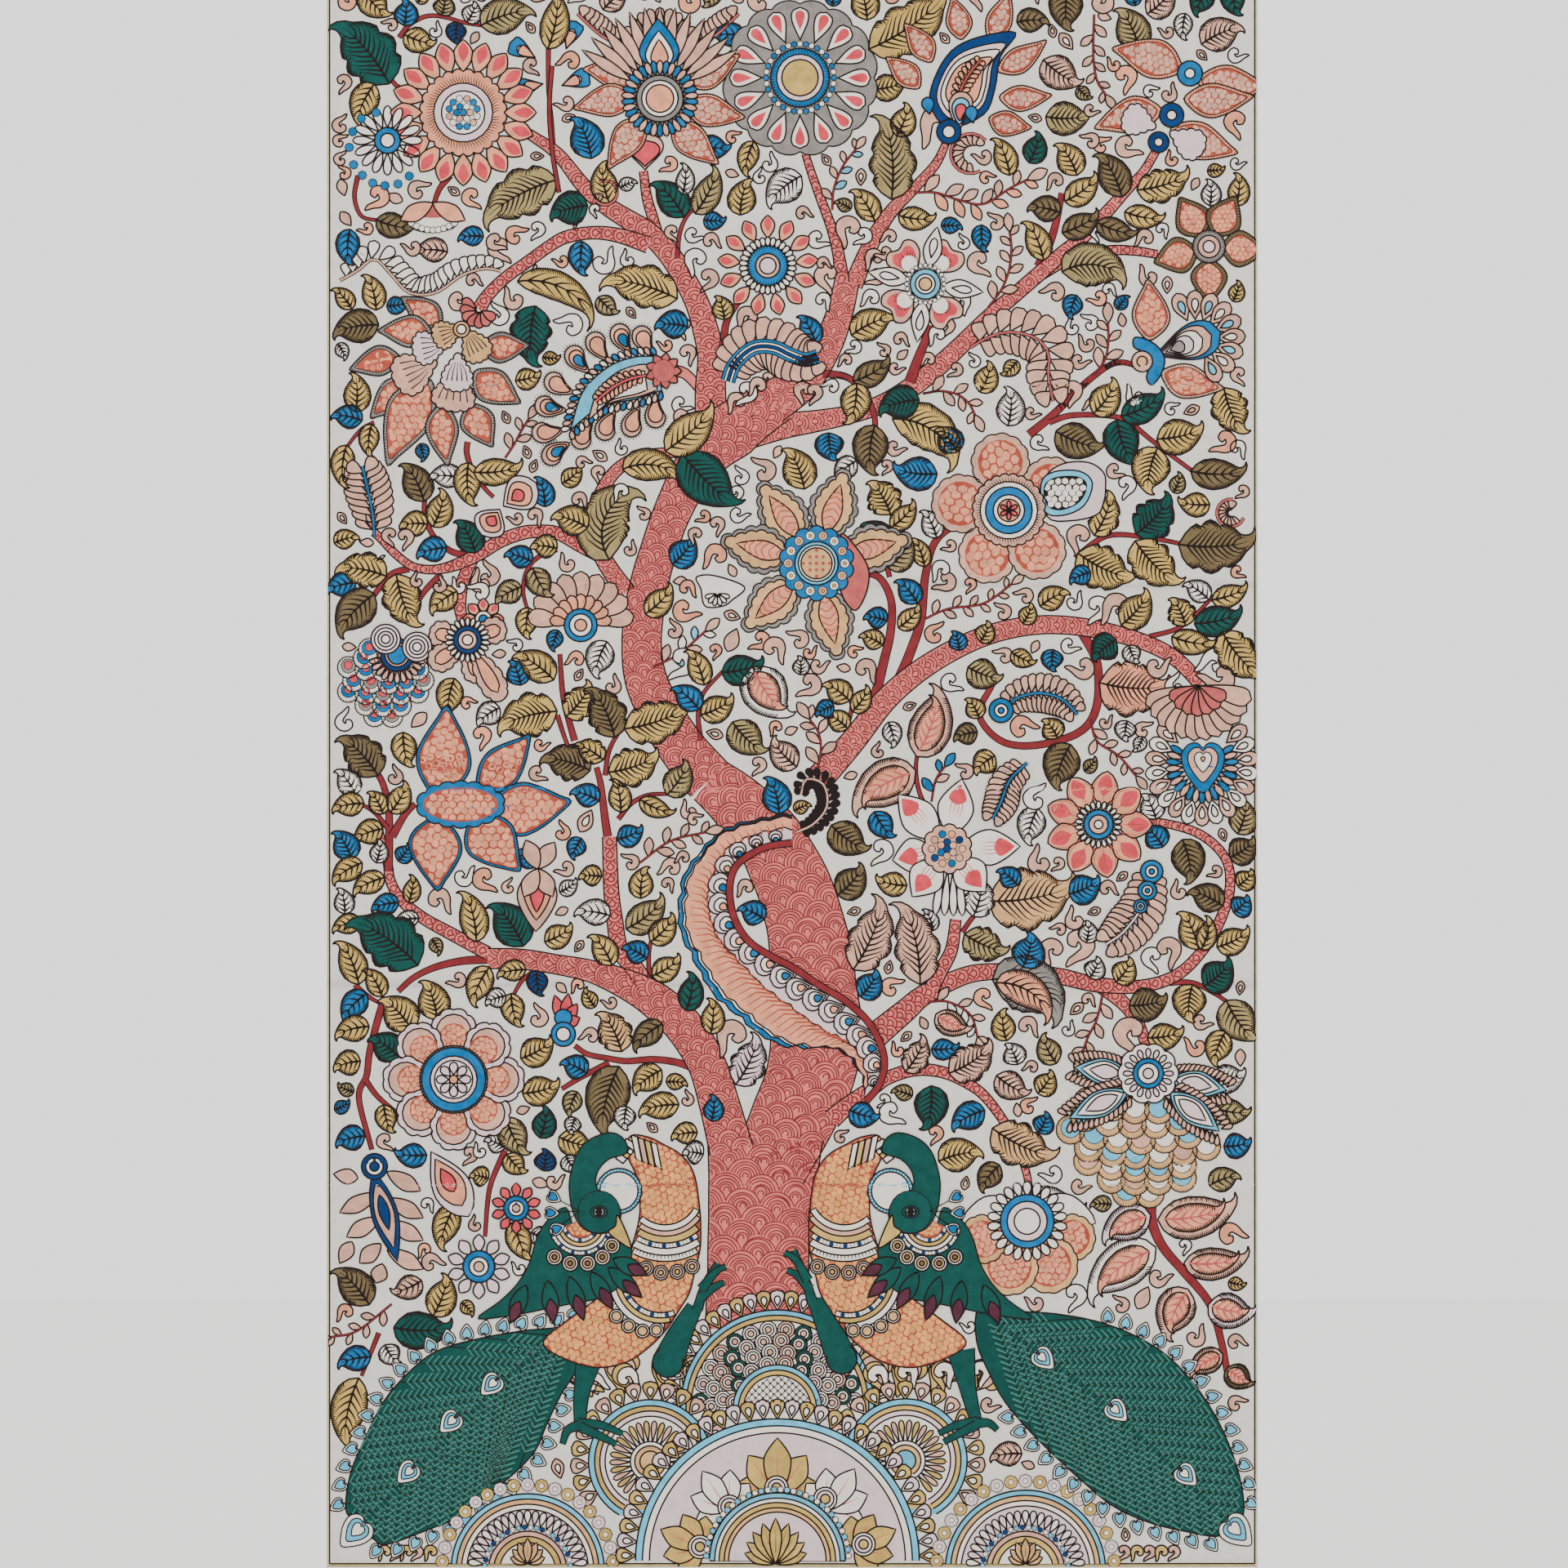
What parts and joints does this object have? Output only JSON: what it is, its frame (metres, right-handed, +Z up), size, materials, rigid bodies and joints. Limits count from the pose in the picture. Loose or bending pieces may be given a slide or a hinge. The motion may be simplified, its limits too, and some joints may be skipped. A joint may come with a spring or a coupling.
{
  "type": "painted cotton wall panel",
  "caption": "Upright hand-painted cotton wall hanging with a tree of life between two peacocks, hemmed all round, which folds flat along pressed creases.",
  "frame": {"origin": "on the back of the top hem, at the middle of the panel's width and of the hem's height", "axes": "+X to the right as the painted side is seen, +Y into the wall, +Z up; the painted side faces -Y"},
  "size_m": [1.07, 0.0012, 1.83],
  "materials": {
    "cloth": "plain-woven cotton painted with vegetable dyes, matt",
    "hem": "turned cotton edge, matt",
    "thread": "cotton sewing thread",
    "outline": "iron-black pen line dyed into the cotton",
    "dye_rose": "brick-rose madder dye on cotton",
    "dye_pink": "pale madder dye on cotton",
    "dye_ochre": "ochre dye on cotton",
    "dye_brown": "brown dye on cotton",
    "dye_green": "dark green dye on cotton",
    "dye_blue": "indigo blue dye on cotton"
  },
  "bodies": {
    "top_section": {"cloth_top": "cloth", "hem_left_top": "hem", "hem_right_top": "hem", "hem_thread_left_top": "thread", "hem_thread_right_top": "thread", "hem_top": "hem", "hem_thread_top": "thread"},
    "upper_section": {"cloth_upper": "cloth", "hem_left_upper": "hem", "hem_right_upper": "hem", "hem_thread_left_upper": "thread", "hem_thread_right_upper": "thread"},
    "lower_section": {"cloth_lower": "cloth", "hem_left_lower": "hem", "hem_right_lower": "hem", "hem_thread_left_lower": "thread", "hem_thread_right_lower": "thread"},
    "bottom_section": {"cloth_bottom": "cloth", "hem_left_bottom": "hem", "hem_right_bottom": "hem", "hem_thread_left_bottom": "thread", "hem_thread_right_bottom": "thread", "hem_bottom": "hem", "hem_thread_bottom": "thread"}
  },
  "joints": [
    {"name": "top_fold", "type": "hinge", "parent": "top_section", "child": "upper_section", "pos_m": [0, 0.003, -0.467], "axis": [1, 0, 0], "range_deg": [0, 180]},
    {"name": "middle_fold", "type": "hinge", "parent": "upper_section", "child": "lower_section", "pos_m": [0, -0.0042, -0.931], "axis": [-1, 0, 0], "range_deg": [0, 180]},
    {"name": "bottom_fold", "type": "hinge", "parent": "lower_section", "child": "bottom_section", "pos_m": [0, 0.003, -1.386], "axis": [1, 0, 0], "range_deg": [0, 180]}
  ]
}
